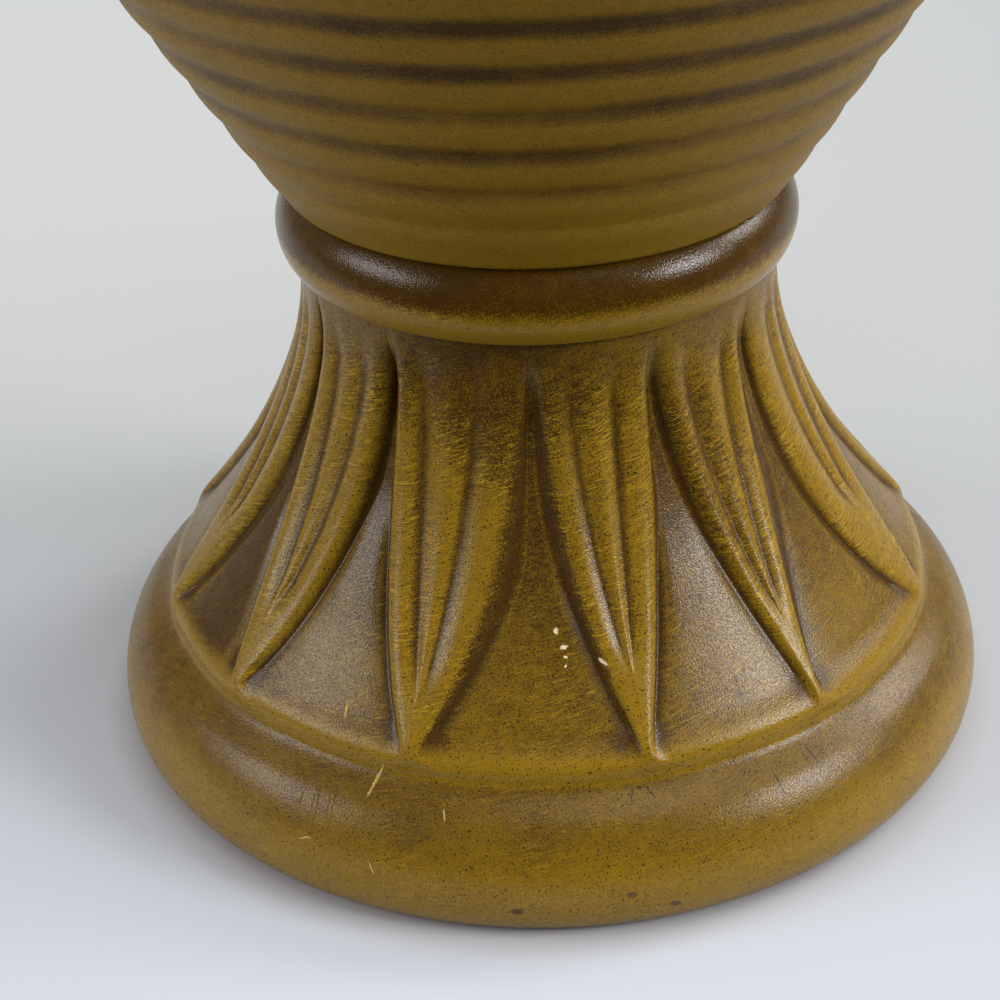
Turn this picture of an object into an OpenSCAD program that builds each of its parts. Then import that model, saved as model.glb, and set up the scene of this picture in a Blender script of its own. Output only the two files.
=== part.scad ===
// Chalice vase in glazed stoneware: a leaf-moulded pedestal, a bead collar and a ribbed bowl.
// The three castings stack on flat lands and are registered by a round spigot. Millimetres, +Z up.
// The origin is on the ground, on the vase's axis.

/* [Base roll] */
// Radius of the vase at the widest point of the base roll
base_r = 65.6; // [62:0.1:70]
// Height of that widest point above the ground
base_belly_h = 6.2; // [5:0.1:7]
// Radius of the arc that rolls in from the widest point to the ground
under_roll_r = 7.5; // [7.2:0.1:9]
// Radius of the arc that rolls in from the widest point to the crease
over_roll_r = 14.5; // [12:0.1:17]
// How far the crease above the roll lies inside the widest point
crease_inset = 8.5; // [7:0.1:10]

/* [Lip] */
// How far the lip above the crease lies inside the widest point of the roll
lip_inset = 8.2; // [7:0.1:9]
// Height of the lip, from the crease to where the flare starts
lip_h = 2.9; // [2:0.1:4]
// How far the lip turns in at the crease
lip_undercut = 0.8; // [0.4:0.1:1.2]

/* [Flare] */
// Height of the pedestal, from the ground to the land that carries the collar
pedestal_h = 73.3; // [68:0.1:85]
// Radius of the neck at that land
neck_r = 33.6; // [31:0.1:35]
// How far the line of the flare would pass outside the lip
flare_overshoot = 1; // [0:0.1:2]
// How late the flare opens: 1 is a straight cone, more keeps the neck slim for longer
flare_power = 1.84; // [1.5:0.01:2.2]
// Thickness of the pedestal's wall behind the deepest relief
pedestal_wall = 4.6; // [3.5:0.1:6]
// Width of the flat ring that the vase stands on
foot_ring_w = 6.5; // [5:0.1:8]

/* [Leaves] */
// Number of leaves round the pedestal
leaf_count = 12; // [10:1:13]
// Turn of the first leaf's point from the front of the vase, in degrees
leaf_turn = 11; // [0:1:30]
// Height of the leaf points above the crease
leaf_point_rise = 3.2; // [3:0.1:6]
// Height of the band over which the leaves fade into the plain neck
leaf_fade_h = 6.5; // [4:0.1:14]
// Height of the plain band under the neck's land
neck_band_h = 2; // [1:0.1:4]
// Height of the ribs' meeting point above the leaf points
rib_fork_rise = 10; // [6:0.1:12]
// Height above the lip at which the panels start to close between the leaves
panel_h = 24; // [18:0.5:28]
// Depth of the plain panels between the leaves
panel_depth = 1.35; // [0.8:0.05:1.6]
// Height of the arris at a panel's edge above the panel
arris_h = 0.25; // [0:0.05:0.4]
// Depth of the trough that runs along each leaf
trough_depth = 2.1; // [1.6:0.05:2.4]
// Depth of the seam between two leaves, above the panels
seam_depth = 1.5; // [1:0.05:2]
// Depth of the two grooves that part a leaf's three ribs
groove_depth = 0.85; // [0.4:0.05:1.2]
// Depth of the rounding at a leaf's shoulders
shoulder_depth = 0.5; // [0.2:0.05:0.7]

/* [Joint] */
// Radius of the spigot under the bowl
spigot_r = 21; // [17:0.1:23]
// Depth to which the spigot enters the pedestal
spigot_depth = 5; // [3:0.1:6]
// Slip joint round the spigot, the gap on each side
slip_gap = 0.3; // [0.2:0.05:0.6]
// Thickness of the pedestal's web under the neck's land
web_h = 7.5; // [6.5:0.1:10]

/* [Collar] */
// Height of the collar, from land to land
collar_h = 10.8; // [9:0.1:12.5]
// Radius of the rounding of the collar's bead
bead_r = 7; // [6.5:0.1:8]
// How far the bead's widest point stands out from the neck
bead_proud = 3; // [2:0.1:4]
// Height of the bead's widest point above the neck's land
bead_belly_h = 5; // [4.6:0.1:5.6]

/* [Bowl] */
// Radius of the bowl where it meets the collar
bowl_foot_r = 35; // [33:0.1:37]
// Height of the bowl from the collar to the top of its rim
bowl_h = 119; // [100:1:140]
// Lean of the bowl's lower wall from upright, in degrees
bowl_lean = 31.9; // [28:0.1:35]
// Height of the straight cone before the wall starts to turn upright
cone_h = 49; // [40:0.5:56]
// Radius of the turn from the cone to the upright wall
turn_r = 100; // [80:1:110]
// Thickness of the bowl's wall
bowl_wall = 5; // [4:0.1:7]
// Thickness of the bowl's floor
bowl_floor = 7; // [5:0.1:9]
// Radius of the hollow's rounding between floor and wall
floor_round_r = 9; // [6:0.5:12]

/* [Bowl ribs] */
// Distance from groove to groove, along the wall
rib_pitch = 7.6; // [6.5:0.1:9]
// Height of the ribs' crests above the grooves
rib_h = 0.6; // [0.4:0.05:1.2]
// Length of the plain band between the collar and the first groove, along the wall
bowl_band = 8.6; // [7:0.1:11]
// Least height of the plain rim band, from the last groove to the top of the rim
rim_band_h = 7.5; // [6:0.5:14]
// How far the rim's bead stands out from the bowl's wall
rim_proud = 1.2; // [0.8:0.1:2]

/* [Hidden] */

$fn = 96;

// Overrun of every cut past the face that it opens
cut_over = 1;
// How far the relief's skin is sunk into the base ring below the crease
skin_sink = 1;

glaze = "#8a6a1e";
glaze_dark = "#6e551f";
glaze_pale = "#957628";

// Small helpers

function clamp01(x) = max(0, min(1, x));

// 0 below a, 1 above b, with a soft start and end
function ease(a, b, x) = let (t = clamp01((x - a) / (b - a))) t * t * (3 - 2 * t);

function mix(a, b, t) = a + (b - a) * t;

// Points of an arc in the profile plane, both ends included
function arc(centre, r, from, to, steps) =
    [for (i = [0 : steps]) let (a = mix(from, to, i / steps)) centre + r * [cos(a), sin(a)]];

// Base roll and lip

over_centre = [base_r - over_roll_r, base_belly_h];
under_centre = [base_r - under_roll_r, base_belly_h];
crease_r = base_r - crease_inset;
crease_angle = acos((crease_r - over_centre.x) / over_roll_r);
crease_z = base_belly_h + over_roll_r * sin(crease_angle);
foot_angle = -asin(base_belly_h / under_roll_r);
roll_steps = 10;
under_steps = 6;

lip_r = base_r - lip_inset;
lip_top_z = crease_z + lip_h;

// Flare, as the line that the leaves' crests follow

flare_gain = lip_r + flare_overshoot - neck_r;

function flare_r(z) =
    neck_r + flare_gain * pow(max(0, (pedestal_h - z) / (pedestal_h - lip_top_z)), flare_power);

// The lip's own line: turned in at the crease, plain above
function lip_line_r(z) =
    lip_r - lip_undercut * pow(1 - clamp01((z - crease_z) / (lip_h / 2)), 2);

// Leaves: where each feature lies, as angles from a leaf's middle line at height z

leaf_point_z = crease_z + leaf_point_rise;
fork_z = leaf_point_z + rib_fork_rise;
fade_top_z = pedestal_h - neck_band_h;
fade_low_z = fade_top_z - leaf_fade_h;
half_pitch = 180 / leaf_count;
leaf_run = fade_top_z - leaf_point_z;

// Share of the half pitch that a leaf fills at the top, and the least at its point
leaf_width_share = 0.86;
leaf_point_share = 0.06;
// Widths of the trough beside a leaf, at the point and at the top, and of the seam where two leaves meet
trough_low_share = 0.085;
trough_gain_share = 0.36;
seam_share = 0.045;
// Where the groove between two ribs lies between the leaf's middle and its shoulder, low and high
groove_low_share = 0.18;
groove_high_share = 0.42;

// How far each leaf's point stands off its even place, in degrees, because the mould was cut by hand
leaf_drift = [2, -1, 1.5, 1, 1, 0.5, 1, 1, 2, 2.5, -1.5, -0.5];

function leaf_rise(z) = clamp01((z - leaf_point_z) / leaf_run);

function shoulder_at(z) =
    half_pitch * max(leaf_point_share, leaf_width_share * sin(90 * pow(leaf_rise(z), 0.8)));

function panel_edge_at(z) =
    min(half_pitch * (1 - seam_share),
        shoulder_at(z) + half_pitch * (trough_low_share + trough_gain_share * leaf_rise(z)));

function groove_at(z) =
    let (parting = ease(fork_z - rib_fork_rise / 2, fork_z + 2 * rib_fork_rise, z))
    shoulder_at(z) * mix(groove_low_share, groove_high_share, parting);

// Columns of the relief over half a leaf, from its middle line to the middle of the panel
middle_flank_share = 0.6;
outer_flank_share = 0.25;
outer_crest_share = 0.6;
trough_share = 0.6;
panel_share = 0.4;

function column_angles(z) =
    let (g = groove_at(z), s = shoulder_at(z), p = panel_edge_at(z), h = half_pitch)
    [0, middle_flank_share * g, g, mix(g, s, outer_flank_share), mix(g, s, outer_crest_share),
     s, mix(s, p, trough_share), p, mix(p, h, panel_share), h];

// Depth of each column below the line of the crests. It fades in at the point and out at the neck.
middle_crest_share = 0.12;
flank_depth_share = 0.42;

function column_depths(z) =
    let (
        top = 1 - ease(fade_low_z, fade_top_z, z),
        body = top * ease(lip_top_z, leaf_point_z + lip_h / 2, z),
        rib = top * groove_depth * ease(fork_z - lip_h, fork_z + 2 * lip_h, z),
        closing = ease(lip_top_z + panel_h, lip_top_z + 1.5 * panel_h, z),
        trough = mix(trough_depth, seam_depth, closing),
        panel = mix(panel_depth, trough, closing),
        arris = mix(panel_depth - arris_h, trough, closing)
    )
    [middle_crest_share * rib, flank_depth_share * rib, rib, flank_depth_share * rib, 0,
     body * shoulder_depth, body * trough, body * arris, body * panel, body * panel];

half_columns = len(column_angles(fork_z)) - 1;
columns_per_leaf = 2 * half_columns;
column_total = leaf_count * columns_per_leaf;

// Place i runs once round the vase. Its side counts a leaf's columns, negative on one half.
function side_of(i) = i % columns_per_leaf - half_columns;

function point_turn(k) =
    leaf_turn + 2 * half_pitch * k + leaf_drift[(k + leaf_count) % leaf_count % len(leaf_drift)];

// Turn of place i, with each half leaf stretched to end midway between its point and its neighbour's
function turn_of(i, angles) =
    let (
        k = floor(i / columns_per_leaf),
        side = side_of(i),
        half_w = abs(point_turn(side < 0 ? k - 1 : k + 1) - point_turn(k)) / 2
    )
    point_turn(k) + sign(side) * angles[abs(side)] * half_w / half_pitch;

// Rows of the relief: close together over the lip and the leaf points, evenly spaced above
lip_row_shares = [0, 0.2, 0.5, 1];
row_total = 22;
row_crowding = 1.12;
lip_row_z = [for (s = lip_row_shares) crease_z + s * lip_h];
leaf_row_z = [for (j = [1 : row_total]) mix(lip_top_z, fade_top_z, pow(j / row_total, row_crowding))];
row_z = concat([crease_z - skin_sink], lip_row_z, leaf_row_z, [pedestal_h]);

// One closed ring of points at height z, blended from the lip's line into the relief
function relief_ring(z) =
    let (
        angles = column_angles(z),
        depths = column_depths(z),
        up = ease(lip_top_z - lip_h / 2, leaf_point_z + lip_h / 4, z)
    )
    [for (i = [0 : column_total - 1])
        let (
            r = mix(lip_line_r(z), flare_r(z) - depths[abs(side_of(i))], up),
            a = turn_of(i, angles) - 90
        )
        [r * cos(a), r * sin(a), z]];

// The moulded skin, from just below the crease to the neck's land
module relief_skin() {
    rows = len(row_z);
    rings = [for (z = row_z) each relief_ring(z)];
    low_centre = len(rings);
    high_centre = low_centre + 1;
    points = concat(rings, [[0, 0, row_z[0]], [0, 0, row_z[rows - 1]]]);
    wall = [for (j = [0 : rows - 2], i = [0 : column_total - 1], half = [0, 1])
        let (
            n = (i + 1) % column_total,
            a = j * column_total + i,
            b = j * column_total + n,
            c = a + column_total,
            d = b + column_total,
            lean = abs(side_of(i)) < abs(side_of(n))
        )
        lean ? (half == 0 ? [a, c, b] : [b, c, d]) : (half == 0 ? [a, d, b] : [a, c, d])];
    low_cap = [for (i = [0 : column_total - 1]) [low_centre, i, (i + 1) % column_total]];
    top = (rows - 1) * column_total;
    high_cap = [for (i = [0 : column_total - 1]) [high_centre, top + (i + 1) % column_total, top + i]];
    polyhedron(points = points, faces = concat(wall, low_cap, high_cap));
}

// Base ring: the foot, the convex roll and the ledge of the crease, as one turned section
module base_ring() {
    rotate_extrude()
        polygon(concat(
            [[0, 0]],
            arc(under_centre, under_roll_r, foot_angle, 0, under_steps),
            [for (p = arc(over_centre, over_roll_r, 0, crease_angle, roll_steps)) if (p.y > base_belly_h) p],
            [[0, crease_z]]
        ));
}

// Hollow of the pedestal, open below: upright in the base, then parallel to the flare up to the web
hollow_top_z = pedestal_h - web_h;
hollow_steps = 12;
foot_flat_r = under_centre.x + under_roll_r * cos(foot_angle);
foot_opening_r = foot_flat_r - foot_ring_w;

module pedestal_hollow() {
    rise = [for (i = [0 : hollow_steps]) mix(lip_top_z, hollow_top_z, i / hollow_steps)];
    rotate_extrude()
        polygon(concat(
            [[0, -cut_over], [foot_opening_r, -cut_over], [foot_opening_r, base_belly_h],
             [crease_r - pedestal_wall, crease_z]],
            [for (z = rise) [flare_r(z) - trough_depth - pedestal_wall, z]],
            [[0, hollow_top_z]]
        ));
}

module pedestal() {
    color(glaze)
        difference() {
            union() {
                base_ring();
                relief_skin();
            }
            pedestal_hollow();
            translate([0, 0, hollow_top_z - cut_over])
                cylinder(r = spigot_r + slip_gap, h = web_h + 2 * cut_over);
        }
}

// Collar: a true bead, cut flat at its two lands and bored for the spigot

collar_z = pedestal_h;
bead_centre_r = neck_r + bead_proud - bead_r;

module collar() {
    color(glaze_pale)
        translate([0, 0, collar_z])
            rotate_extrude()
                difference() {
                    intersection() {
                        union() {
                            translate([bead_centre_r, bead_belly_h])
                                circle(r = bead_r);
                            square([bead_centre_r, collar_h]);
                        }
                        square([bead_centre_r + bead_r, collar_h]);
                    }
                    translate([0, -cut_over])
                        square([spigot_r + slip_gap, collar_h + 2 * cut_over]);
                }
}

// Bowl: its wall line runs up the cone, round the turn and straight up to the rim

bowl_z = collar_z + collar_h;
cone_dir = [sin(bowl_lean), cos(bowl_lean)];
cone_len = cone_h / cos(bowl_lean);
turn_start = [bowl_foot_r + cone_len * sin(bowl_lean), cone_h];
turn_centre = turn_start - turn_r * [cos(bowl_lean), -sin(bowl_lean)];
turn_len = turn_r * bowl_lean * PI / 180;
turn_end = turn_centre + [turn_r, 0];
wall_len = cone_len + turn_len + max(0, bowl_h - turn_end.y);

// Lean of the wall and its place, at the distance s along it from the collar
function wall_lean(s) = bowl_lean * (1 - clamp01((s - cone_len) / turn_len));

function wall_point(s) =
    s < cone_len ? [bowl_foot_r, 0] + s * cone_dir :
    s < cone_len + turn_len
        ? turn_centre + turn_r * [cos(wall_lean(s)), -sin(wall_lean(s))]
        : turn_end + [0, s - cone_len - turn_len];

function wall_offset(s, d) = wall_point(s) + d * [cos(wall_lean(s)), -sin(wall_lean(s))];

// Ribs: broad round crests parted by narrow grooves
rib_count = floor((wall_len - bowl_band - rim_band_h) / rib_pitch);
rib_steps = 6;
rib_fullness = 0.7;
// Swell of the plain band as a share of the ribs' height, and how far up the band it lies
band_crown_share = 0.8;
band_crown_power = 2;

function rib_crest(t) = rib_h * pow(sin(180 * t), rib_fullness);

ribs_end = bowl_band + rib_count * rib_pitch;
rim_round_r = (bowl_wall + rim_proud) / 2;
rim_centre = [turn_end.x + rim_proud - rim_round_r, bowl_h - rim_round_r];
rim_angle = acos((turn_end.x - rim_centre.x) / rim_round_r);
rim_steps = 10;
band_steps = 7;
inner_steps = 14;

// Rounding between the flat floor and the cone, tangent to both
floor_round_s = (bowl_floor + floor_round_r - (bowl_wall + floor_round_r) * sin(bowl_lean)) / cos(bowl_lean);
floor_centre = wall_offset(floor_round_s, -bowl_wall - floor_round_r);

module bowl_outline() {
    band = [for (i = [0 : band_steps]) let (t = i / band_steps)
        wall_offset(t * bowl_band, band_crown_share * rib_h * sin(180 * pow(t, band_crown_power)))];
    ribs = [for (k = [0 : rib_count - 1], i = [1 : rib_steps]) let (t = i / rib_steps)
        wall_offset(bowl_band + (k + t) * rib_pitch, rib_crest(t))];
    rim = arc(rim_centre, rim_round_r, -rim_angle, 180, rim_steps);
    inner = [for (i = [inner_steps - 1 : -1 : 1])
        wall_offset(mix(floor_round_s, wall_len - rim_round_r, i / inner_steps), -bowl_wall)];
    polygon(concat(
        [[0, -collar_h - spigot_depth], [spigot_r, -collar_h - spigot_depth], [spigot_r, 0]],
        band,
        ribs,
        rim,
        inner,
        arc(floor_centre, floor_round_r, -bowl_lean, -90, band_steps),
        [[0, bowl_floor]]
    ));
}

module bowl() {
    color(glaze_dark)
        translate([0, 0, bowl_z])
            rotate_extrude()
                bowl_outline();
}

pedestal();
collar();
bowl();
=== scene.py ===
import math

import bpy
import numpy as np
from mathutils import Matrix, Vector


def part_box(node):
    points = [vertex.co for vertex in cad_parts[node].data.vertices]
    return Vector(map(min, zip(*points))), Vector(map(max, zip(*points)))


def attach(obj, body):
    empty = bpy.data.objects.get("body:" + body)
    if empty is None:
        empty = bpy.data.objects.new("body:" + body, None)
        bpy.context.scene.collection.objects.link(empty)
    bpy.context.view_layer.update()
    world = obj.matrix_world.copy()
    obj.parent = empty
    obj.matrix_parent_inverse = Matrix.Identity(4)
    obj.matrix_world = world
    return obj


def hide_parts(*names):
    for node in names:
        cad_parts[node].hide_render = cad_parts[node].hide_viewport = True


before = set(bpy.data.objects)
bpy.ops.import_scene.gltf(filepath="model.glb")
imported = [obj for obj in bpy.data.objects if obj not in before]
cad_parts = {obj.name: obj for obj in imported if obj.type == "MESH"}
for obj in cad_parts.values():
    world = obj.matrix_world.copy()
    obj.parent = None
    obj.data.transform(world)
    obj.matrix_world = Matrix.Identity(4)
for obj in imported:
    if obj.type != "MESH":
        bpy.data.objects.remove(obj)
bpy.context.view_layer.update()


# Pedestal: the flared foot, cast hollow in one piece from slip, with a convex base roll, a soft lip above
# it, and twelve three-ribbed leaves moulded into the flare. Glazed ochre all over, washed with umber, and
# the wash wiped back off the raised parts with a dry brush. It stands on a bare clay foot ring.

MM = 0.001

low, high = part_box("pedestal")
base_r = (high.x - low.x) / 2
pedestal_h = high.z
belly_h = 6.2 * MM
under_roll_r = 7.5 * MM
over_roll_r = 14.5 * MM
crease_r = base_r - 8.5 * MM
crease_round = 0.7 * MM
lip_r = base_r - 8.2 * MM
lip_undercut = 0.8 * MM
lip_h = 2.9 * MM
lip_crown_h = lip_h * 0.5
lip_blend_h = lip_h * 0.8
neck_r = 33.6 * MM
flare_overshoot = 1.0 * MM
flare_power = 1.84
wall = 6.7 * MM
crease_wall = wall * 0.7
foot_ring_w = 6.5 * MM
web_h = 7.5 * MM
bore_r = 21.3 * MM

over_x = base_r - over_roll_r
under_x = base_r - under_roll_r
crease_z = belly_h + math.sqrt(over_roll_r ** 2 - (crease_r - over_x) ** 2)
lip_top_z = crease_z + lip_h
flat_r = under_x + math.sqrt(under_roll_r ** 2 - belly_h ** 2)


def ease(a, b, x):
    """0 below a and 1 above b, with a soft start and end"""
    t = np.clip((x - a) / (b - a), 0, 1)
    return t * t * (3 - 2 * t)


def mix(a, b, t):
    """The value that lies the share t of the way from a to b"""
    return a + (b - a) * t


def hump(centre, half_width, x):
    """1 at the centre, falling softly to 0 at half_width on either side"""
    return 1 - ease(0, half_width, np.abs(x - centre))


def flare(z):
    """Radius of the plain flare at height z, from the lip up to the upright neck"""
    gain = lip_r + flare_overshoot - neck_r
    return neck_r + gain * np.maximum(0, (pedestal_h - z) / (pedestal_h - lip_top_z)) ** flare_power


def foot_line(z):
    """Radius of the plain turned foot at height z, before the leaves are pressed in"""
    lip = lip_r - lip_undercut * np.clip(1 - (z - crease_z) / lip_crown_h, 0, 1) ** 2
    return mix(lip, flare(z), ease(lip_top_z - lip_crown_h, lip_top_z + lip_blend_h, z))


def skin_r(z):
    """Radius of the glazed outside at height z, on the roll or above it"""
    if z < crease_z:
        return over_x + math.sqrt(over_roll_r ** 2 - (z - belly_h) ** 2)
    return float(foot_line(z))


def arc(cx, cz, r, start, end, steps):
    """Points of an arc round (cx, cz), from the angle start to the angle end"""
    angles = [mix(start, end, i / steps) for i in range(steps + 1)]
    return [(cx + r * math.cos(angle), cz + r * math.sin(angle)) for angle in angles]


def deselect():
    bpy.ops.object.select_all(action="DESELECT")


def turned(name, outline, sectors, sector_steps):
    """One vertex is extruded along the outline, the line is spun through a sector, and the sector is
    copied round"""
    deselect()
    bpy.ops.mesh.primitive_plane_add(size=MM)
    piece = bpy.context.object
    piece.name = piece.data.name = name
    bpy.ops.object.mode_set(mode="EDIT")
    bpy.ops.mesh.merge(type="CENTER")
    bpy.ops.transform.translate(value=(outline[0][0], 0, outline[0][1]))
    for (r0, z0), (r1, z1) in zip(outline, outline[1:]):
        bpy.ops.mesh.extrude_region_move(TRANSFORM_OT_translate={"value": (r1 - r0, 0, z1 - z0)})
    bpy.ops.mesh.select_all(action="SELECT")
    bpy.ops.mesh.spin(steps=sector_steps, angle=math.tau / sectors, center=(0, 0, 0), axis=(0, 0, 1))
    bpy.ops.mesh.select_all(action="SELECT")
    for copy in range(1, sectors):
        bpy.ops.mesh.duplicate()
        bpy.ops.transform.rotate(value=math.tau / sectors, orient_axis="Z", center_override=(0, 0, 0))
    bpy.ops.mesh.select_all(action="SELECT")
    bpy.ops.mesh.remove_doubles(threshold=0.02 * MM)
    bpy.ops.mesh.normals_make_consistent(inside=False)
    bpy.ops.object.mode_set(mode="OBJECT")
    bpy.ops.object.shade_smooth()
    return piece


def points_of(piece):
    """The piece's vertices, one row of x, y and z for each"""
    co = np.empty(len(piece.data.vertices) * 3)
    piece.data.vertices.foreach_get("co", co)
    return co.reshape(-1, 3)


def put_points(piece, co):
    """Moves the piece's vertices to the rows of co"""
    piece.data.vertices.foreach_set("co", co.ravel())
    piece.data.update()


def soften(piece, chosen, passes):
    """Smooths the chosen vertices, the more passes the rounder"""
    deselect()
    piece.select_set(True)
    bpy.context.view_layer.objects.active = piece
    bpy.ops.object.mode_set(mode="EDIT")
    bpy.ops.mesh.select_mode(type="VERT")
    bpy.ops.mesh.select_all(action="DESELECT")
    bpy.ops.object.mode_set(mode="OBJECT")
    piece.data.vertices.foreach_set("select", chosen)
    bpy.ops.object.mode_set(mode="EDIT")
    bpy.ops.mesh.vertices_smooth(factor=0.5, repeat=passes)
    bpy.ops.object.mode_set(mode="OBJECT")


def put_values(piece, name, values):
    """Stores a value from 0 to 1 on each vertex, for the glaze to read by name"""
    layer = piece.data.attributes.new(name, "FLOAT", "POINT")
    layer.data.foreach_set("value", np.clip(values, 0, 1).astype(np.float32))


# The outline runs up the outside from the foot ring to the neck's land, down the bore, under the web and
# down inside the wall, back to the foot ring.
lip_rows = 8
flare_rows = 94
inside_rows = 9
row_spread = 1.12
roll_top = math.acos((crease_r + crease_round - over_x) / over_roll_r)
lip_heights = np.linspace(crease_z, lip_top_z, lip_rows + 1)
flare_heights = mix(lip_top_z, pedestal_h, np.linspace(0, 1, flare_rows + 1)[1:] ** row_spread)
inside_heights = np.linspace(pedestal_h - web_h, lip_top_z, inside_rows + 1)
foot_outline = arc(under_x, belly_h, under_roll_r, -math.asin(belly_h / under_roll_r), 0, 8)
foot_outline += arc(over_x, belly_h, over_roll_r, 0, roll_top, 20)[1:]
foot_outline += [(float(foot_line(z)), float(z)) for z in [*lip_heights, *flare_heights]]
foot_outline += [(bore_r, pedestal_h), (bore_r, pedestal_h - web_h)]
foot_outline += [(float(flare(z)) - wall, float(z)) for z in inside_heights]
foot_outline += [(crease_r - crease_wall, crease_z), (flat_r - foot_ring_w, belly_h),
                 (flat_r - foot_ring_w, 0), (flat_r, 0)]

# The hand-cut leaves differ a little: the first six face the front, the others the back. Each row says where
# a leaf points and where its left seam meets the neck, in degrees to the right of the front, how full it is
# and how fast it narrows, where its left and right grooves run, as shares of its half width, and in mm how
# high they fork, how wide its two troughs are and how deep its left seam is cut.
leaves = [
    (-76.5, -91.0, 0.98, 0.75, 0.45, 0.26, 35, 2.0, 2.2, 1.3),
    (-50.5, -64.0, 0.94, 0.80, 0.38, 0.46, 33, 2.0, 1.5, 1.5),
    (-19.5, -36.3, 0.96, 0.80, 0.55, 0.28, 30, 1.5, 3.9, 2.3),
    (13.0, -2.6, 0.88, 1.00, 0.46, 0.38, 33, 2.2, 1.5, 1.2),
    (40.0, 24.8, 0.84, 1.15, 0.50, 0.52, 34, 1.9, 4.6, 1.6),
    (72.5, 55.5, 0.92, 0.66, 0.20, 0.55, 36, 1.8, 2.0, 1.4),
    (102.0, 89.5, 0.92, 0.85, 0.44, 0.50, 32, 2.2, 2.4, 1.6),
    (132.0, 117.5, 0.88, 1.00, 0.50, 0.42, 34, 2.8, 2.2, 1.5),
    (161.5, 147.0, 0.94, 0.85, 0.42, 0.46, 31, 2.0, 2.8, 1.8),
    (192.0, 177.0, 0.86, 1.05, 0.48, 0.44, 33, 2.6, 2.4, 1.4),
    (222.0, 207.5, 0.92, 0.90, 0.46, 0.50, 32, 2.2, 2.6, 1.7),
    (253.0, 237.0, 0.90, 0.95, 0.44, 0.46, 34, 2.4, 2.2, 1.5)]
leaf_count = len(leaves)
leaf_pitch = 360 / leaf_count
first_seam = -90
half_columns = 27

pedestal = turned("pedestal_casting", foot_outline, leaf_count, 2 * half_columns)

# A vertex this close to the turned outline counts as on it, and those above the crease are moulded
hair = 0.05 * MM
place = points_of(pedestal)
radius = np.hypot(place[:, 0], place[:, 1])
height = place[:, 2]
turn = np.degrees(np.arctan2(place[:, 0], -place[:, 1]))
moulded = (np.abs(radius - foot_line(height)) < hair) & (height > crease_z - hair)

# Heights of the leaves' features, and how far up the leaf each vertex lies
leaf_point_z = lip_top_z + 0.2 * MM
fade_top_z = pedestal_h - 1.0 * MM
fade_low_z = fade_top_z - 8.5 * MM
panel_low_z = lip_top_z + 4.0 * MM
panel_top_z = lip_top_z + 24.0 * MM
rise = np.clip((height - leaf_point_z) / (fade_top_z - leaf_point_z), 0, 1)

# Which leaf a vertex belongs to, on which side of its middle, and in which of the half's columns
around = np.mod(turn - first_seam + 1e-6, 360)
leaf = np.minimum((around / leaf_pitch).astype(int), leaf_count - 1)
across = (around - 1e-6) / leaf_pitch - leaf - 0.5
left = across < 0
column = np.rint(np.abs(across) * 2 * half_columns).astype(int)
left_of_front = leaf == 2
right_of_front = leaf == 3

# Where the leaf's middle line and its seam on that side run at this height
middle_bend = 0.9
seam_bend = 0.6
(tips, seams, fullness, taper, left_groove, right_groove, forks, left_trough, right_trough,
 cuts) = np.array(leaves).T
seams = np.append(seams, seams[0] + 360)
cuts = np.append(cuts, cuts[0])
tips_before = np.roll(tips, 1) - 360 * (np.arange(leaf_count) == 0)
tips_after = np.roll(tips, -1) + 360 * (np.arange(leaf_count) == leaf_count - 1)
middle = mix(tips[leaf], (seams[leaf] + seams[leaf + 1]) / 2, rise ** middle_bend)
left_seam = mix((tips_before[leaf] + tips[leaf]) / 2, seams[leaf], rise ** seam_bend)
right_seam = mix((tips[leaf] + tips_after[leaf]) / 2, seams[leaf + 1], rise ** seam_bend)
half_pitch = np.where(left, middle - left_seam, right_seam - middle)

# Angles from the middle line out to the groove, the outer rib's crest, its shoulder, the trough's floor, the
# panel's arris and the seam, and the columns that stand on them
trough_low_w = 1.1 * MM
shoulder_extra = 0.14
shoulder_least = 0.04
arris_most = 0.965
groove_least = 0.08
fork_bend = 0.33
fork_z = forks[leaf] * MM
above_fork = np.clip((height - fork_z) / (fade_top_z - fork_z), 0, 1)
panel_rise = np.clip((height - panel_low_z) / (panel_top_z - panel_low_z), 0, 1)
widest = np.where(left, left_trough[leaf], right_trough[leaf])
trough_w = mix(trough_low_w, widest * MM, panel_rise)
full = fullness[leaf] + np.where(right_of_front & ~left, shoulder_extra, 0)
shoulder_share = np.maximum(shoulder_least, full * np.sin(math.pi / 2 * rise ** taper[leaf]))
shoulder_at = half_pitch * shoulder_share
arris_at = np.minimum(half_pitch * arris_most, shoulder_at + np.degrees(trough_w / flare(height)))
groove_share = np.where(left, left_groove[leaf], right_groove[leaf]) * above_fork ** fork_bend
groove_at = shoulder_at * np.maximum(groove_least, groove_share)
crest_at = mix(groove_at, shoulder_at, 0.5)
trough_at = mix(shoulder_at, arris_at, 0.55)
stations = [0 * half_pitch, groove_at, crest_at, shoulder_at, trough_at, arris_at, half_pitch]
station_columns = [0, 6, 10, 15, 19, 22, half_columns]

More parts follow.
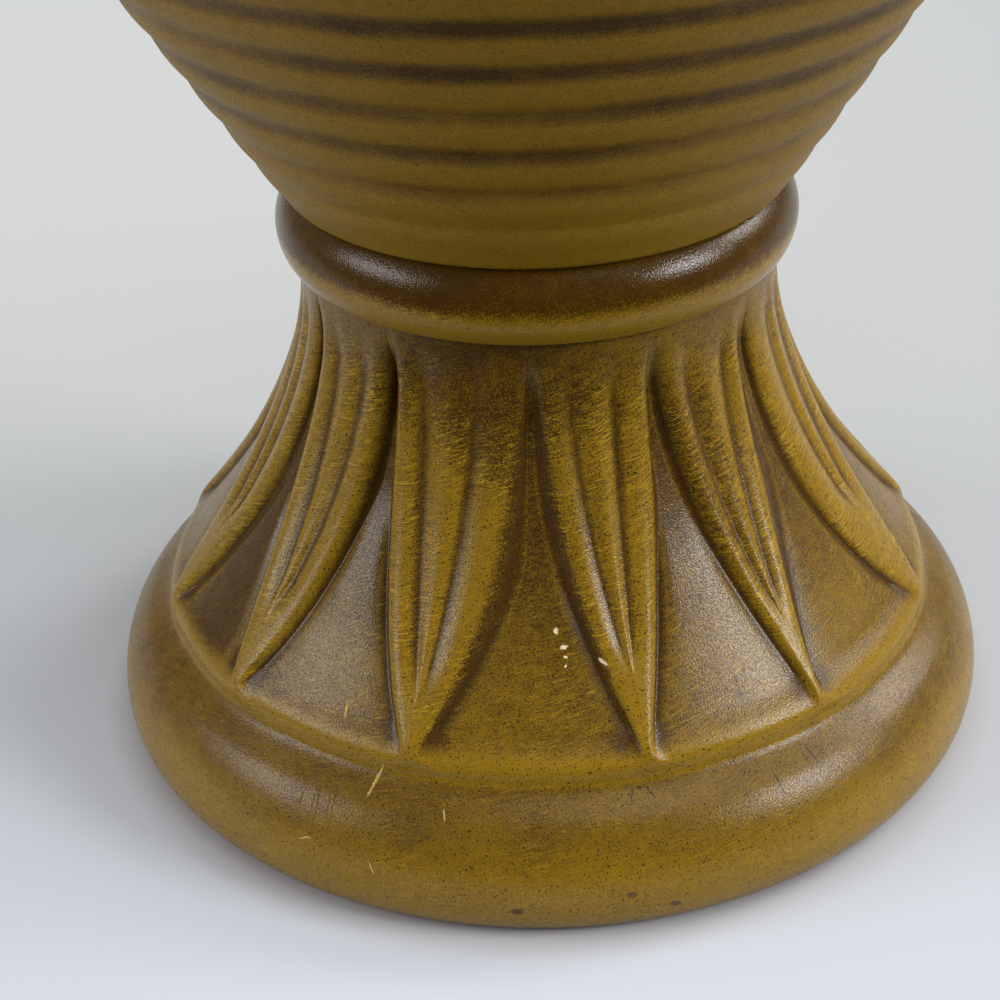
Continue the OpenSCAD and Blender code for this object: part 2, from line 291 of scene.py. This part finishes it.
# Depth below the crests at each station, and how the surface runs from one station to the next
groove_depth = 1.6 * MM
middle_rib_depth = 0.12 * groove_depth
shoulder_depth = 0.75 * MM
arris_depth = np.where(right_of_front, 1.2, 1.45) * MM
panel_depth = 1.5 * MM
trough_low_depth = 2.0 * MM
trough_top_depth = (3.1 - 0.25 * widest) * MM
seam_depth = 1.35 * np.where(left, cuts[leaf], cuts[leaf + 1]) * MM
top_fade = 1 - ease(fade_low_z, fade_top_z, height)
body_fade = top_fade * ease(lip_top_z - 0.2 * MM, lip_top_z + 2.2 * MM, height)
rib_fade = top_fade * ease(fork_z - 1.5 * MM, fork_z + 3 * MM, height)
seam_sink = ease(panel_top_z - 9 * MM, panel_top_z + 4 * MM, height)
trough_depth = mix(trough_low_depth, trough_top_depth, ease(panel_low_z, panel_top_z - 4 * MM, height))
trough_depth = mix(trough_depth, seam_depth, seam_sink)
station_depths = [middle_rib_depth * rib_fade, groove_depth * rib_fade, 0 * height,
                  shoulder_depth * body_fade, trough_depth * body_fade,
                  mix(arris_depth, trough_depth, seam_sink) * body_fade,
                  mix(panel_depth, trough_depth, seam_sink) * body_fade]
station_runs = [lambda t: t ** 3, lambda t: 1 - (1 - t) ** 3, lambda t: t ** 2,
                lambda t: 1 - (1 - t) ** 2, lambda t: ease(0, 1, t), lambda t: 1 - (1 - t) ** 2]
station_spreads = [lambda t: 1 - (1 - t) ** 1.3, lambda t: t ** 1.3] + [lambda t: t] * 4

leaf_angle = np.zeros(len(place))
depth = np.zeros(len(place))
for i, run in enumerate(station_runs):
    a, b = station_columns[i], station_columns[i + 1]
    here = (column >= a) & (column <= b)
    t = station_spreads[i]((column[here] - a) / (b - a))
    leaf_angle[here] = mix(stations[i][here], stations[i + 1][here], t)
    depth[here] = mix(station_depths[i][here], station_depths[i + 1][here], run(t))

# The columns relax to even spacing below the leaves, and a slow waver keeps the hand-cut mould's softness
waver_depth = 0.08 * MM
waver = waver_depth * (np.sin(3 * np.radians(turn) + 60 * height) + np.sin(7 * np.radians(turn) + 1.3))
settle = ease(crease_z, leaf_point_z, height)
leaf_turn = middle + np.where(left, -leaf_angle, leaf_angle)
new_turn = np.radians(mix(turn, turn + (leaf_turn - turn + 180) % 360 - 180, settle))
new_radius = np.where(moulded, radius - depth - np.abs(waver) * body_fade, radius)
new_turn = np.where(moulded, new_turn, np.radians(turn))
put_points(pedestal, np.stack([new_radius * np.sin(new_turn), -new_radius * np.cos(new_turn), height], 1))

# Mould wear and glaze round every edge of the relief, and most of all the lip and the crease below it
relief_passes = 14
lip_passes = 26
on_relief = moulded & (height > crease_z) & (height < pedestal_h - 0.3 * MM)
on_lip = (radius > crease_r - 2 * MM) & (np.abs(height - lip_top_z + 1 * MM) < 4.5 * MM)
soften(pedestal, on_relief, relief_passes)
soften(pedestal, on_lip, lip_passes)

# The umber wash, 0 for none and 1 for full: full in the troughs and grooves, strong on the neck, half or more
# on the panels and thin on the ribs, the roll and the lip. It starts and ends softly, at the columns, the
# degrees from the front and the heights given here.
groove_wash = 0.9
panel_low_wash = 0.45
panel_top_wash = 0.85
left_panel_umber = 0.55
neck_wash = 0.52
neck_front_wash = 0.92
crest_wash = 0.04
shoulder_wash = 0.1
right_leaf_wash = 0.3
left_half_wash = 0.22
roll_low_wash = 0.18
roll_top_wash = 0.6
crease_wash = 0.35
land_wash = 1.2
inner_wash = 0.4
front = np.degrees(new_turn)
on_panel = body_fade * ease(20, 23, column)
wash_groove = groove_wash * rib_fade * hump(6, 3, column)
front_flank = (left_of_front & ~left) | (right_of_front & left)
flank = np.where(front_flank, 11.5, 13.5)
wash_trough = body_fade * ease(flank, flank + 4, column) * (1 - 0.5 * ease(19.5, 22.5, column))
wash_panel = on_panel * mix(panel_low_wash, panel_top_wash, ease(26 * MM, 47 * MM, height))
# More umber on the panels round the left side, which makes them darker
wash_panel = wash_panel + left_panel_umber * hump(-62, 26, front) * on_panel
neck_line = 66 * MM + 1.5 * MM * np.sin(np.radians(front) * 2 - 1.2) - 5 * MM * hump(-8, 22, front)
neck_rise = ease(neck_line - 12 * MM, neck_line + 5 * MM, height)
wash_neck = mix(neck_wash, neck_front_wash, hump(-14, 44, front)) * neck_rise
wash_shoulder = shoulder_wash * ease(11, 14, column)
wash_right = right_leaf_wash * hump(34, 26, front) * ease(34 * MM, 50 * MM, height)
wash_leaf = crest_wash + (wash_shoulder + wash_right) * body_fade
left_halves = left & ((leaf == 3) | (leaf == 4))
wash_leaf = wash_leaf + left_half_wash * left_halves * ease(30 * MM, 42 * MM, height) * top_fade
roll_wash = mix(roll_low_wash, roll_top_wash, ease(9 * MM, 16 * MM, height))
wash_roll = np.where(height < crease_z, roll_wash, 0)
wash_lip = crease_wash * hump(crease_z, 2.2 * MM, height)
wash_lip = wash_lip + land_wash * ease(pedestal_h - 1.2 * MM, pedestal_h, height)
wash = np.maximum.reduce([wash_groove, wash_trough, wash_panel, wash_neck, wash_leaf, wash_roll, wash_lip])
inner = ~moulded & (radius < foot_line(np.maximum(height, crease_z)) - 5 * MM)
put_values(pedestal, "wash", np.where(inner, inner_wash, wash))

# The dry brush left its streaks on the ribs, fewer on the panels, and hardly any in the troughs and grooves
panel_brushed = 0.5
plain_brushed = 0.28
off_troughs = (1 - 0.9 * hump(18, 4, column)) * (1 - 0.7 * hump(6, 2.5, column))
leaf_brushed = mix(1, panel_brushed, ease(17, 22, column)) * off_troughs
put_values(pedestal, "brushed", mix(plain_brushed, leaf_brushed, body_fade))

# Bare clay on the foot ring and inside the foot
under = (height < hair) | (inner & (height > belly_h / 2))
put_values(pedestal, "bare", np.where(under & (radius < flat_r - 1 * MM), 1.0, 0.0))

# How far in front of the surface and behind it a mark still shows
mark_depth = 4 * MM


class Signal:
    """A value that runs through a glaze's nodes: sums on it add the Math nodes"""

    def __init__(self, nodes, socket):
        self.nodes = nodes
        self.socket = socket

    def __add__(self, other):
        return self.nodes.maths("ADD", self, other)

    def __radd__(self, other):
        return self.nodes.maths("ADD", other, self)

    def __sub__(self, other):
        return self.nodes.maths("SUBTRACT", self, other)

    def __rsub__(self, other):
        return self.nodes.maths("SUBTRACT", other, self)

    def __mul__(self, other):
        return self.nodes.maths("MULTIPLY", self, other)

    def __rmul__(self, other):
        return self.nodes.maths("MULTIPLY", other, self)

    def most(self, other):
        return self.nodes.maths("MAXIMUM", self, other)

    def clipped(self):
        """Held between 0 and 1"""
        return self.nodes.maths("MINIMUM", self.most(0), 1)

    def between(self, start, end):
        """0 at start and 1 at end, with soft ends"""
        return self.nodes.add("ShaderNodeMapRange", {"interpolation_type": "SMOOTHSTEP"},
                              {"Value": self, "From Min": start, "From Max": end})


class Nodes:
    """The node tree of a glaze, of the paper or of the air, put together node by node"""

    def __init__(self, tree):
        self.tree = tree
        tree.nodes.clear()

    def add(self, kind, settings, values, output=0):
        """A node of this kind, with its settings, and with values or other nodes' signals on its sockets"""
        node = self.tree.nodes.new(kind)
        for key, value in settings.items():
            setattr(node, key, value)
        for key, value in values.items():
            if isinstance(value, Signal):
                self.tree.links.new(value.socket, node.inputs[key])
            else:
                node.inputs[key].default_value = value
        return Signal(self, node.outputs[output]) if node.outputs else None

    def maths(self, operation, *values):
        return self.add("ShaderNodeMath", {"operation": operation}, dict(enumerate(values)))

    def place(self):
        return self.add("ShaderNodeTexCoord", {}, {}, "Object")

    def stored(self, name):
        """The value that put_values stored under this name"""
        return self.add("ShaderNodeAttribute", {"attribute_name": name}, {}, "Fac")

    def noise(self, size, detail=2, shift=0, rough=0.5, output=0):
        """Noise whose lumps are about size across, in metres"""
        at = self.add("ShaderNodeMapping", {}, {
            "Vector": self.place(), "Location": (shift, shift / 2, -shift), "Scale": [1 / size] * 3})
        return self.add("ShaderNodeTexNoise", {}, {
            "Vector": at, "Scale": 1, "Detail": detail, "Roughness": rough}, output)

    def blend(self, amount, under, over):
        """The colour under, with as much of the colour over on it as amount says"""
        return self.add("ShaderNodeMix", {"data_type": "RGBA", "clamp_factor": True},
                        {0: amount, 6: under, 7: over}, 2)

    def mark(self, at, turn, height, length, width, tilt):
        """1 inside a small oval on the foot's surface, 0 outside: a chip, a scratch, a stain or a drip"""
        out = Vector((math.sin(math.radians(turn)), -math.cos(math.radians(turn)), 0))
        level = Vector((-out.y, out.x, 0))
        slope = math.radians(tilt)
        along = level * math.cos(slope) + Vector((0, 0, math.sin(slope)))
        centre = out * skin_r(height * MM) + Vector((0, 0, height * MM))
        facing = Matrix((along, out.cross(along), out)).transposed().to_euler()
        local = self.add("ShaderNodeMapping", {"vector_type": "TEXTURE"}, {
            "Vector": at, "Location": centre, "Rotation": facing,
            "Scale": (length / 2 * MM, width / 2 * MM, mark_depth)})
        reach = self.add("ShaderNodeVectorMath", {"operation": "LENGTH"}, {0: local}, "Value")
        return 1 - reach.between(0.7, 1.3)

    def finish(self, colour, roughness, normal, bending):
        """The surface itself, with bending as the glaze's index of refraction"""
        shader = self.add("ShaderNodeBsdfPrincipled", {}, {
            "Base Color": colour, "Roughness": roughness, "Normal": normal, "IOR": bending})
        self.add("ShaderNodeOutputMaterial", {}, {"Surface": shader})


def srgb(r, g, b):
    """A colour written as it looks on a screen, 0 to 255"""
    return [((v / 255 + 0.055) / 1.055) ** 2.4 if v > 10 else v / 255 / 12.92 for v in (r, g, b)] + [1]


ochre = srgb(134, 103, 14)
gold = srgb(184, 144, 30)
umber = srgb(66, 43, 6)
peat = srgb(40, 24, 5)
clay = srgb(224, 204, 160)
scraped = srgb(190, 160, 88)

cloud_size = 9 * MM
mottle_size = 1.6 * MM
grain_size = 0.25 * MM
speck_size = 0.28 * MM
ragged_size = 0.5 * MM
bristle_w = 0.19 * MM
brush_turn_r = 50 * MM
brush_strokes = [(0.16, 4.5 * MM, 0), (0.3, 3.4 * MM, 7)]
grain_h = 0.045 * MM


def ochre_glaze(name, shift, streaks, matt, bending, chips=(), scratches=(), stains=(), drips=()):
    """Satin ochre glaze with the umber wash where the piece's own values say, brushed and speckled.
    The shift sets the patterns of one piece apart from those of the next."""
    material = bpy.data.materials.new(name)
    material.use_nodes = True
    glaze = Nodes(material.node_tree)
    wash = glaze.stored("wash")
    brushed = glaze.stored("brushed")
    bare = glaze.stored("bare")
    clouds = glaze.noise(cloud_size, shift=shift)
    mottle = glaze.noise(mottle_size, detail=3, shift=shift + 3)
    grains = glaze.noise(grain_size, detail=1, shift=shift + 5, rough=0.6)

    # Two sets of brush strokes, each a noise drawn out along its slope round the piece
    place = glaze.place()
    x, y, z = [glaze.add("ShaderNodeSeparateXYZ", {}, {0: place}, axis) for axis in range(3)]
    swing = brush_turn_r * glaze.maths("ARCTAN2", x, 0 - y)
    strokes = []
    for slope, length, lift in brush_strokes:
        path = glaze.add("ShaderNodeCombineXYZ", {}, {
            0: swing * (1 / length), 1: shift + lift, 2: (z - slope * swing) * (1 / bristle_w)})
        strokes.append(glaze.add("ShaderNodeTexNoise", {}, {
            "Vector": path, "Scale": 1, "Detail": 1, "Roughness": 0.6}))
    bristles = mottle.between(0.4, 0.6) * (strokes[0] - strokes[1]) + strokes[1]
    patchy = clouds.between(0.3, 0.6) * brushed * streaks
    stroke = bristles.between(0.51, 0.66) * patchy
    between_strokes = bristles.between(0.5, 0.38) * patchy

    # How much umber lies at each point, and the colours over one another
    amount = wash + 0.5 * (clouds - 0.5) * wash.between(0, 0.3)
    amount = amount + (0.3 + 0.4 * brushed) * (mottle - 0.5) + (0.6 + 1.6 * brushed) * (grains - 0.5)
    amount = amount + 0.28 * between_strokes - 0.4 * stroke
    colour = glaze.blend(stroke * 0.6, ochre, gold)
    colour = glaze.blend(amount.clipped(), colour, umber)
    specks = glaze.noise(speck_size, detail=0, shift=shift + 9).between(0.7, 0.75)
    colour = glaze.blend(specks * (0.15 + 0.7 * streaks), colour, peat)

    # Marks with ragged edges, which come from reading the place a little off to one side or the other
    ragged = glaze.add("ShaderNodeVectorMath", {"operation": "SCALE"}, {
        0: glaze.noise(ragged_size, detail=1, shift=shift + 11, output="Color"), "Scale": ragged_size})
    ragged = glaze.add("ShaderNodeVectorMath", {"operation": "ADD"}, {0: place, 1: ragged})
    ragged = glaze.add("ShaderNodeVectorMath", {"operation": "SUBTRACT"}, {
        0: ragged, 1: [ragged_size / 2] * 3})
    cut = bare * 0
    for stain in stains:
        colour = glaze.blend(glaze.mark(ragged, *stain) * (0.2 + mottle), colour, peat)
    for scratch in scratches:
        mask = glaze.mark(ragged, *scratch)
        cut = cut + mask
        colour = glaze.blend(mask * (0.3 + mottle), colour, scraped)
    for chip in chips:
        mask = glaze.mark(ragged, *chip)
        cut = cut + mask
        colour = glaze.blend(mask, colour, clay)
    colour = glaze.blend(bare, colour, clay)

    roughness = matt + 0.1 * (clouds - 0.5) + 0.45 * (grains - 0.5) + 0.5 * bare + 0.2 * cut
    relief = grains - 0.6 * bare * grains + 0.2 * bristles * brushed - 0.8 * cut
    for drip in drips:
        relief = relief + 2.2 * glaze.mark(ragged, *drip)
    normal = glaze.add("ShaderNodeBump", {}, {"Strength": 1.0, "Distance": grain_h, "Height": relief})
    glaze.finish(colour, roughness, normal, bending)
    return material


# Each mark is given by its turn from the front in degrees, its height, length and width in mm, and its tilt
# in degrees.
foot_chips = [(1.3, 36.6, 0.85, 0.6, 90), (2.5, 34.8, 1.15, 0.5, 0), (2.6, 33.7, 0.5, 0.35, 0),
              (2.6, 32.8, 0.5, 0.35, 90), (8.4, 33.3, 1.05, 0.55, -15)]
foot_scratches = [(-30.7, 25.6, 2.2, 0.35, -75), (-23.7, 18.9, 3.8, 0.35, 72),
                  (-31.1, 10.9, 1.8, 0.25, 22), (-13.7, 17.0, 1.0, 0.25, -65), (-22.0, 9.6, 1.8, 0.25, -66)]
foot_stains = [(29.6, 16.6, 3.0, 0.35, -82), (35.9, 17.4, 2.6, 0.35, -76), (34.8, 17.3, 2.4, 0.3, -84),
               (8.8, 7.4, 1.5, 1.0, 0), (14.0, 4.8, 1.7, 0.9, -15), (-4.5, 5.6, 1.7, 1.0, 0),
               (10.3, 18.6, 1.3, 0.25, 50), (11.5, 19.1, 1.5, 0.25, 0), (12.7, 18.6, 1.5, 0.25, -50),
               (-49.0, 71.6, 0.6, 0.5, 0), (-42.1, 72.4, 0.6, 0.5, 0), (-28.7, 72.1, 0.5, 0.4, 0)]
foot_drips = [(-30.8, 15.0, 7.2, 0.7, -84), (-28.6, 15.6, 6.0, 0.7, -84), (-33.0, 16.1, 2.6, 0.4, -84)]
foot_glaze = ochre_glaze("pedestal_ochre_glaze", shift=0, streaks=1.0, matt=0.27, bending=1.36,
                         chips=foot_chips, scratches=foot_scratches, stains=foot_stains, drips=foot_drips)
pedestal.data.materials.append(foot_glaze)
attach(pedestal, "root")
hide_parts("pedestal")


# Collar: a plain bead of the same clay, turned and bored, that hides the joint between foot and bowl. It is
# luted to both with slip. Its upper half kept the umber wash, and the lower half was wiped back to ochre.

low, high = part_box("collar")
collar_z = low.z
collar_h = high.z - low.z
bead_r = 7.0 * MM
bead_centre_r = high.x - bead_r
bead_belly_h = 5.0 * MM

land_angle = math.asin(bead_belly_h / bead_r)
top_angle = math.asin((collar_h - bead_belly_h) / bead_r)
collar_outline = arc(bead_centre_r, collar_z + bead_belly_h, bead_r, -land_angle, top_angle, 48)
collar_outline += [(bore_r, collar_z + collar_h), (bore_r, collar_z)]
collar_outline.append(collar_outline[0])

collar = turned("collar_bead", collar_outline, 12, 24)

wiped_wash = 0.05
washed_wash = 1.08
bore_wash = 0.3
wiped_to = 3.5 * MM
washed_from = 6.2 * MM
brushed_h = 4.4 * MM
brushed_reach = 2.8 * MM
height = points_of(collar)[:, 2] - collar_z
radius = np.hypot(*points_of(collar)[:, :2].T)
outside = radius > bore_r + 1 * MM
bead_wash = mix(wiped_wash, washed_wash, ease(wiped_to, washed_from, height))
put_values(collar, "wash", np.where(outside, bead_wash, bore_wash))
put_values(collar, "brushed", 0.8 * hump(brushed_h, brushed_reach, height) + 0.1)
put_values(collar, "bare", np.where(outside, 0, 1.0))

bead_glaze = ochre_glaze("collar_ochre_glaze", shift=21, streaks=0.6, matt=0.17, bending=1.35)
collar.data.materials.append(bead_glaze)
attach(collar, "root")
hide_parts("collar")


# Bowl: the cone, its turn to upright and the rolled rim, cast in one piece with broad ribs round the
# outside. The umber stayed in the grooves between the ribs. A round spigot under its floor seats in the foot.

low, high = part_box("bowl")
bowl_top = high.z
bowl_z = collar_z + collar_h
bowl_foot_r = 35.0 * MM
bowl_lean = math.radians(31.9)
cone_h = 49.0 * MM
turn_r = 100.0 * MM
bowl_wall = 5.0 * MM
bowl_floor = 7.0 * MM
floor_round_r = 9.0 * MM
spigot_r = 21.0 * MM
rib_pitch = 7.6 * MM
rib_h = 0.36 * MM
bowl_band = 8.6 * MM
band_proud = 0.8 * rib_h
bowl_edge_round = 0.5 * MM
rim_band_h = 7.5 * MM
rim_proud = 1.2 * MM

cone_len = cone_h / math.cos(bowl_lean)
turn_start = (bowl_foot_r + cone_len * math.sin(bowl_lean), bowl_z + cone_h)
turn_centre = (turn_start[0] - turn_r * math.cos(bowl_lean), turn_start[1] + turn_r * math.sin(bowl_lean))
turn_len = turn_r * bowl_lean
upright_r = turn_centre[0] + turn_r
wall_len = cone_len + turn_len + max(0, bowl_top - turn_centre[1])


def wall_point(s, proud=0.0):
    """Point of the bowl's wall at the distance s up it from the collar, stood out by proud"""
    lean = bowl_lean * (1 - min(1, max(0, (s - cone_len) / turn_len)))
    if s < cone_len:
        x, z = bowl_foot_r + s * math.sin(bowl_lean), bowl_z + s * math.cos(bowl_lean)
    elif s < cone_len + turn_len:
        x, z = turn_centre[0] + turn_r * math.cos(lean), turn_centre[1] - turn_r * math.sin(lean)
    else:
        x, z = upright_r, turn_centre[1] + s - cone_len - turn_len
    return x + proud * math.cos(lean), z - proud * math.sin(lean)


# The outline runs from the spigot's foot up the outside, over the rim and down the inside to the floor's
# middle. The place up the wall of every point on the band and the ribs is kept for the glaze.
rib_count = int((wall_len - bowl_band - rim_band_h) / rib_pitch)
rib_steps = 11
band_steps = 18
inside_steps = 30
bowl_outline = [(0, low.z), (spigot_r / 2, low.z), (spigot_r, low.z), (spigot_r, bowl_z),
                (bowl_foot_r - bowl_edge_round / 2, bowl_z)]
first_wall_point = len(bowl_outline)
wall_places = []
for i in range(band_steps + 1):
    t = mix(bowl_edge_round / bowl_band, 1, i / band_steps)
    bowl_outline.append(wall_point(t * bowl_band, band_proud * math.sin(math.pi * t ** 2)))
    wall_places.append(t * bowl_band)
for k in range(rib_count):
    for i in range(1, rib_steps + 1):
        t = (1 - math.cos(math.pi * i / rib_steps)) / 2
        s = bowl_band + (k + t) * rib_pitch
        bowl_outline.append(wall_point(s, rib_h * math.sin(math.pi * t) ** 1.5))
        wall_places.append(s)
rim_round_r = (bowl_wall + rim_proud) / 2
rim_x = upright_r + rim_proud - rim_round_r
rim_angle = math.acos((upright_r - rim_x) / rim_round_r)
bowl_outline += arc(rim_x, bowl_top - rim_round_r, rim_round_r, -rim_angle, math.pi, 16)
floor_round_rise = bowl_floor + floor_round_r - (bowl_wall + floor_round_r) * math.sin(bowl_lean)
floor_round_s = floor_round_rise / math.cos(bowl_lean)
for i in range(inside_steps - 1, 0, -1):
    s = mix(floor_round_s, wall_len - rim_round_r, i / inside_steps)
    bowl_outline.append(wall_point(s, -bowl_wall))
floor_z = bowl_z + bowl_floor
round_x, round_z = wall_point(floor_round_s, -bowl_wall - floor_round_r)
bowl_outline += arc(round_x, round_z, floor_round_r, -bowl_lean, -math.pi / 2, 10)
bowl_outline += [(round_x * 2 / 3, floor_z), (round_x / 3, floor_z), (0, floor_z)]

bowl = turned("bowl_casting", bowl_outline, 12, 27)

# How far up the wall each outside vertex lies, and how far from the nearest groove
place = points_of(bowl)
radius = np.hypot(place[:, 0], place[:, 1])
height = place[:, 2]
ribs = np.array(wall_places)
rib_points = np.array(bowl_outline[first_wall_point:first_wall_point + len(ribs)])
off_x = radius[:, None] - rib_points[None, :, 0]
off_z = height[:, None] - rib_points[None, :, 1]
nearest = np.argmin(off_x ** 2 + off_z ** 2, 1)
along = ribs[nearest]
gap = np.hypot(radius - rib_points[nearest, 0], height - rib_points[nearest, 1])
outer = gap < hair
phase = np.mod(along - bowl_band, rib_pitch)
near_groove = np.minimum(phase, rib_pitch - phase)

# The wash in the grooves is uneven round the bowl, differs from rib to rib, and thins out at the sides and
# towards the band.
groove_full_w = 0.4 * MM
groove_soft_w = 2.8 * MM
groove_wash = 0.85
rib_wash = 0.1
inside_wash = 0.3
turn = np.arctan2(place[:, 0], -place[:, 1])
rib_turn = 1.7 * np.floor((along - bowl_band + rib_pitch / 2) / rib_pitch)
wiped = groove_wash + 0.16 * np.sin(2 * turn + rib_turn) + 0.12 * np.sin(5 * turn + 2.3 * rib_turn)
wiped = wiped * mix(1, 0.5, np.sin(turn) ** 2) * ease(-0.5, 2.5, (along - bowl_band) / rib_pitch)
in_grooves = wiped * (1 - ease(groove_full_w, groove_soft_w, near_groove))
grooves = np.where(along > bowl_band - 2.5 * MM, in_grooves, 0)
wash = np.where(outer, np.maximum(grooves, rib_wash), inside_wash)
put_values(bowl, "wash", wash)
put_values(bowl, "brushed", np.where(outer, 0.22, 0.1))
put_values(bowl, "bare", np.where(height < bowl_z - hair, 1.0, 0.0))

bowl_glaze = ochre_glaze("bowl_ochre_glaze", shift=47, streaks=0.5, matt=0.46, bending=1.26)
bowl.data.materials.append(bowl_glaze)
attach(bowl, "root")
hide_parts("bowl")


# Floor: a matt pale sheet under the vase, with its front edge a few centimetres before the foot. Its colour
# carries painted light: lighter and bluer at the front, greyer towards the back and the right, and, close to
# the foot on the left, a painted warm shadow.

ground_r = 1.2
ground_y = 1.1
ground_drop = 0.03 * MM
near_lit_paper = srgb(193, 197, 205)
far_shaded_paper = srgb(177, 179, 177)
right_shaded_paper = srgb(152, 154, 156)
warm_shadow_paper = srgb(142, 126, 112)
fibre_colour = srgb(190, 193, 198)

deselect()
bpy.ops.mesh.primitive_circle_add(vertices=192, radius=ground_r, fill_type="NGON",
                                  location=(0, ground_y, -ground_drop))
ground = bpy.context.object
ground.name = "pale_ground"
sheet = bpy.data.materials.new("pale_paper")
sheet.use_nodes = True
paper = Nodes(sheet.node_tree)
fibres = paper.noise(3 * MM)
x, y = [paper.add("ShaderNodeSeparateXYZ", {}, {0: paper.place()}, axis) for axis in range(2)]
# Painted shade: the sheet's colour turns greyer towards the back and the right, standing in for the falloff
# of the light
far = y.between(-0.08 - ground_y, 0.14 - ground_y)
right = x.between(-0.1, 0.25)
from_foot = paper.add("ShaderNodeVectorMath", {"operation": "DISTANCE"}, {
    0: paper.place(), 1: (0, -ground_y, 0)}, "Value")
# Painted contact shadow: a warm dark ring on the sheet right next to the foot, on its left side
painted_foot_shadow = from_foot.between(0.07, 0.0645) * (1 - right)
paper_colour = paper.blend(far, near_lit_paper, far_shaded_paper)
paper_colour = paper.blend(right * 0.6, paper_colour, right_shaded_paper)
paper_colour = paper.blend(painted_foot_shadow * 0.38, paper_colour, warm_shadow_paper)
paper_colour = paper.blend(fibres * 0.06, paper_colour, fibre_colour)
fibre_bump = paper.add("ShaderNodeBump", {}, {"Strength": 0.02, "Distance": 0.1 * MM, "Height": fibres})
paper.finish(paper_colour, 0.9, fibre_bump, 1.4)
ground.data.materials.append(sheet)


# Air: pale wherever the camera sees past the sheet. The vase is lit by a plain grey room, brighter overhead
# and at the sides, most of all on the left. Its glaze mirrors little of that room, and a little of the pale
# air behind the vase.

pale_colour = srgb(201, 204, 206)
room_colour = srgb(216, 217, 218)
mirrored_pale = 0.25
unmirrored_room = 0.9
room_below = 0.34
room_level = 0.26
room_overhead = 0.33
room_sides = 0.3
room_left = 0.2

world = bpy.data.worlds.new("pale_air")
bpy.context.scene.world = world
world.use_nodes = True
air = Nodes(world.node_tree)
camera_ray, glossy_ray, clear_ray = [
    air.add("ShaderNodeLightPath", {}, {}, kind)
    for kind in ("Is Camera Ray", "Is Glossy Ray", "Is Transmission Ray")]
direction = air.add("ShaderNodeTexCoord", {}, {}, "Generated")
sideways, depthwise, upward = [
    air.add("ShaderNodeSeparateXYZ", {}, {0: direction}, axis) for axis in range(3)]
backdrop = depthwise.between(-0.3, 0.7)
seen = camera_ray.most(glossy_ray.most(clear_ray) * backdrop * mirrored_pale)
aside = air.maths("ABSOLUTE", sideways).between(0.3, 1)
room = room_below + room_level * upward.between(-0.3, 0.2) + room_overhead * upward.between(0.2, 1)
room = room + room_sides * aside + room_left * sideways.between(-0.2, -1)
dim = air.add("ShaderNodeBackground", {}, {
    "Color": room_colour, "Strength": room * (1 - unmirrored_room * glossy_ray)})
pale = air.add("ShaderNodeBackground", {}, {"Color": pale_colour, "Strength": 1.0})
around_vase = air.add("ShaderNodeMixShader", {}, {0: seen, 1: dim, 2: pale})
air.add("ShaderNodeOutputWorld", {}, {"Surface": around_vase})


# Lights: soft boxes low on the right and the left, one behind on the right, and a broad one overhead. The low
# ones make the long highlights on the ribs, the bead and the roll.

aimed_at = Vector((0, 0, 60 * MM))


def soft_box(name, turn, rise, distance, width, height, power):
    """A lamp turn degrees to the right of the front and rise degrees up, aimed at the vase's stem"""
    deselect()
    level = math.cos(math.radians(rise))
    towards = Vector((math.sin(math.radians(turn)) * level, -math.cos(math.radians(turn)) * level,
                      math.sin(math.radians(rise))))
    bpy.ops.object.light_add(type="AREA", location=aimed_at + towards * distance)
    lamp = bpy.context.object
    lamp.name = name
    lamp.rotation_euler = towards.to_track_quat("Z", "Y").to_euler()
    lamp.data.shape = "RECTANGLE"
    lamp.data.size = width
    lamp.data.size_y = height
    lamp.data.energy = power


soft_box("right_soft_box", turn=70, rise=28, distance=3.0, width=1.15, height=0.75, power=57.0)
soft_box("left_soft_box", turn=-76, rise=26, distance=3.0, width=1.7, height=0.9, power=35.0)
soft_box("rim_soft_box", turn=112, rise=32, distance=3.0, width=1.2, height=1.2, power=40.0)
soft_box("top_soft_box", turn=60, rise=74, distance=2.5, width=2.0, height=2.0, power=24.0)


# Camera: at the height of the rim and 29 cm in front of the vase's axis, looking down at the foot, as the
# photograph does. Its place, angles and lens were worked out from the outlines of the turned foot.

camera_at = Vector((0, -286 * MM, 200.1 * MM))
pitch = math.radians(30.75)
yaw = math.radians(-1.35)
roll = math.radians(-2.30)
focal_length = 78.98
sensor_w = 36

ahead = Vector((math.sin(yaw) * math.cos(pitch), math.cos(yaw) * math.cos(pitch), -math.sin(pitch)))
level_axis = Vector((math.cos(yaw), -math.sin(yaw), 0))
steep_axis = level_axis.cross(ahead)
across_axis = level_axis * math.cos(roll) + steep_axis * math.sin(roll)
up_axis = steep_axis * math.cos(roll) - level_axis * math.sin(roll)
facing = Matrix((across_axis, up_axis, -ahead)).transposed().to_4x4()

deselect()
bpy.ops.object.camera_add()
camera = bpy.context.object
camera.matrix_world = Matrix.Translation(camera_at) @ facing
camera.data.lens = focal_length
camera.data.sensor_width = sensor_w
camera.data.clip_start = 0.01
bpy.context.scene.camera = camera
bpy.context.scene.view_settings.view_transform = "Standard"
